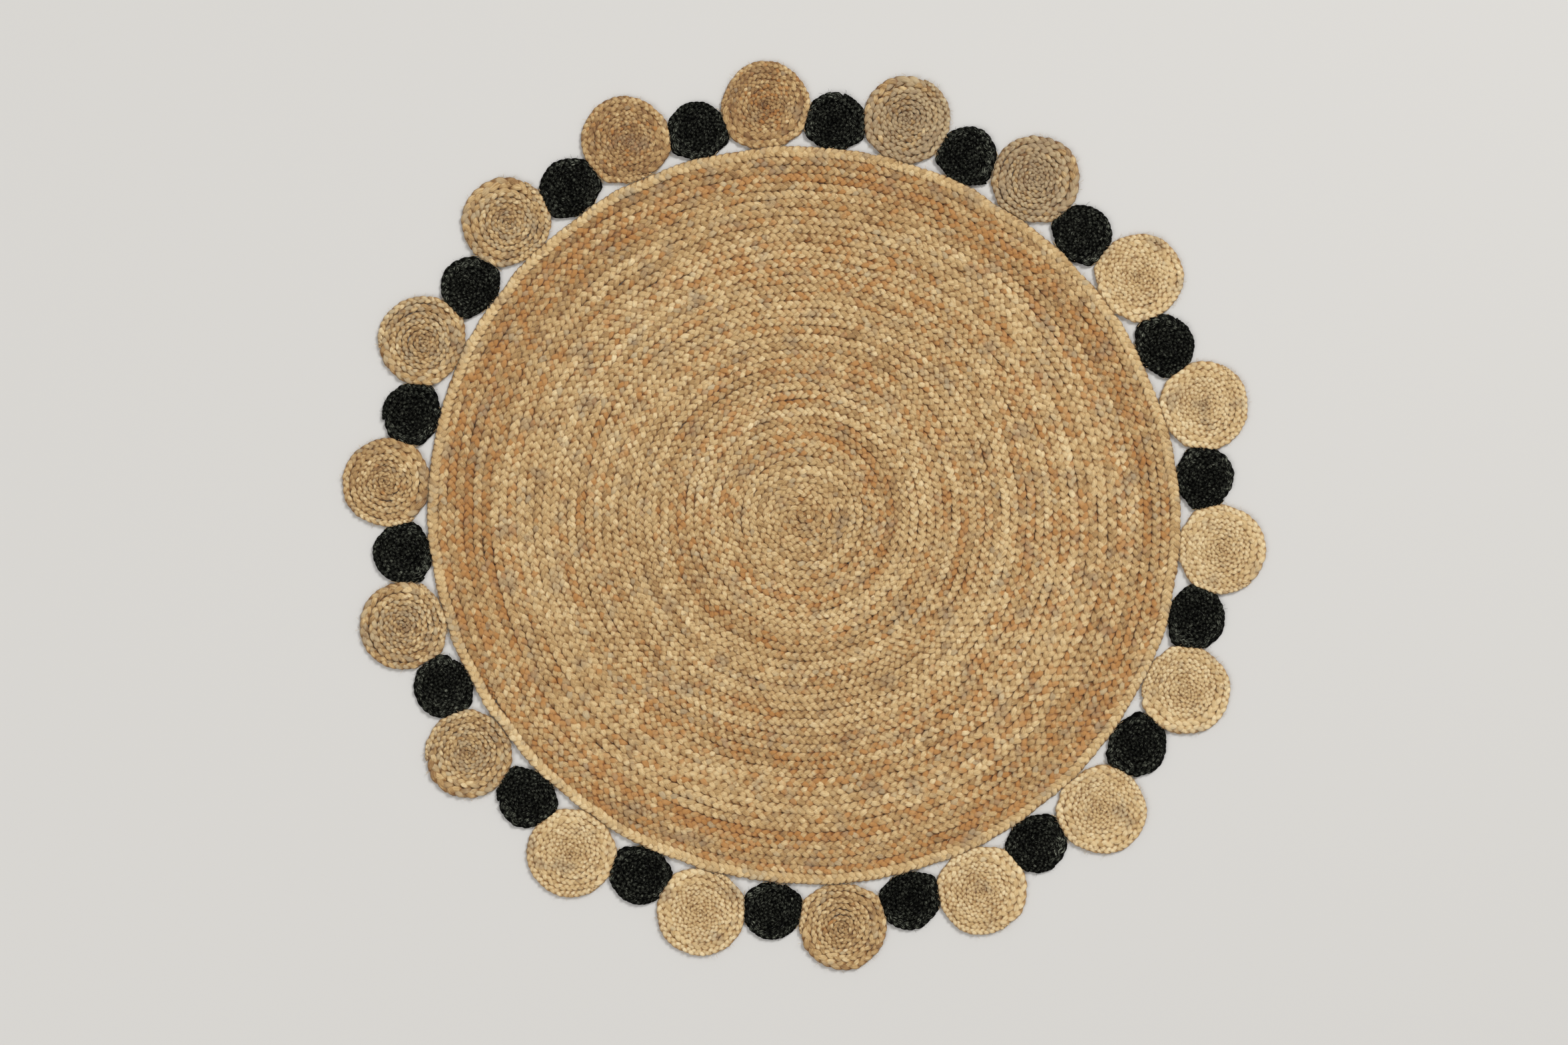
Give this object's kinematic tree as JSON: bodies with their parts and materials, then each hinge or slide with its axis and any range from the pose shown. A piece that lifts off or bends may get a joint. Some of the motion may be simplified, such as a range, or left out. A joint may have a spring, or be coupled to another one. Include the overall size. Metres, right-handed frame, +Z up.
{
  "type": "round area rug",
  "caption": "Round coiled jute rug with an edge braid and a border of large natural and small black coiled discs sewn on with thread.",
  "frame": {"origin": "the middle of the mat, on the floor it lies on", "axes": "+Z up out of the floor through the rug's thickness; +X to the right as the rug is seen from above, with the first natural disc 15.4 degrees anticlockwise of it"},
  "size_m": [1.4952, 1.4714, 0.0095],
  "materials": {
    "golden_jute_plait": "matte braided jute, golden tan with orange-brown and pale strands",
    "pale_jute_plait": "matte braided jute, pale straw",
    "straw_jute_plait": "matte braided jute, straw to greyish tan",
    "black_jute_plait": "black-dyed braided jute with a faint sheen",
    "sewing_thread": "undyed twisted thread"
  },
  "bodies": {
    "root": {"mat_coil": "golden_jute_plait", "edge_braid": "pale_jute_plait", "edge_seam_thread": "sewing_thread", "natural_disc_01": "straw_jute_plait", "natural_disc_02": "straw_jute_plait", "natural_disc_03": "straw_jute_plait", "natural_disc_04": "straw_jute_plait", "natural_disc_05": "straw_jute_plait", "natural_disc_06": "straw_jute_plait", "natural_disc_07": "straw_jute_plait", "natural_disc_08": "straw_jute_plait", "natural_disc_09": "straw_jute_plait", "natural_disc_10": "straw_jute_plait", "natural_disc_11": "straw_jute_plait", "natural_disc_12": "straw_jute_plait", "natural_disc_13": "straw_jute_plait", "natural_disc_14": "straw_jute_plait", "natural_disc_15": "straw_jute_plait", "natural_disc_16": "straw_jute_plait", "natural_disc_17": "straw_jute_plait", "natural_disc_18": "straw_jute_plait", "black_disc_01": "black_jute_plait", "black_disc_02": "black_jute_plait", "black_disc_03": "black_jute_plait", "black_disc_04": "black_jute_plait", "black_disc_05": "black_jute_plait", "black_disc_06": "black_jute_plait", "black_disc_07": "black_jute_plait", "black_disc_08": "black_jute_plait", "black_disc_09": "black_jute_plait", "black_disc_10": "black_jute_plait", "black_disc_11": "black_jute_plait", "black_disc_12": "black_jute_plait", "black_disc_13": "black_jute_plait", "black_disc_14": "black_jute_plait", "black_disc_15": "black_jute_plait", "black_disc_16": "black_jute_plait", "black_disc_17": "black_jute_plait", "black_disc_18": "black_jute_plait", "joining_thread_01": "sewing_thread", "joining_thread_02": "sewing_thread", "joining_thread_03": "sewing_thread", "joining_thread_04": "sewing_thread", "joining_thread_05": "sewing_thread", "joining_thread_06": "sewing_thread", "joining_thread_07": "sewing_thread", "joining_thread_08": "sewing_thread", "joining_thread_09": "sewing_thread", "joining_thread_10": "sewing_thread", "joining_thread_11": "sewing_thread", "joining_thread_12": "sewing_thread", "joining_thread_13": "sewing_thread", "joining_thread_14": "sewing_thread", "joining_thread_15": "sewing_thread", "joining_thread_16": "sewing_thread", "joining_thread_17": "sewing_thread", "joining_thread_18": "sewing_thread"}
  },
  "joints": []
}
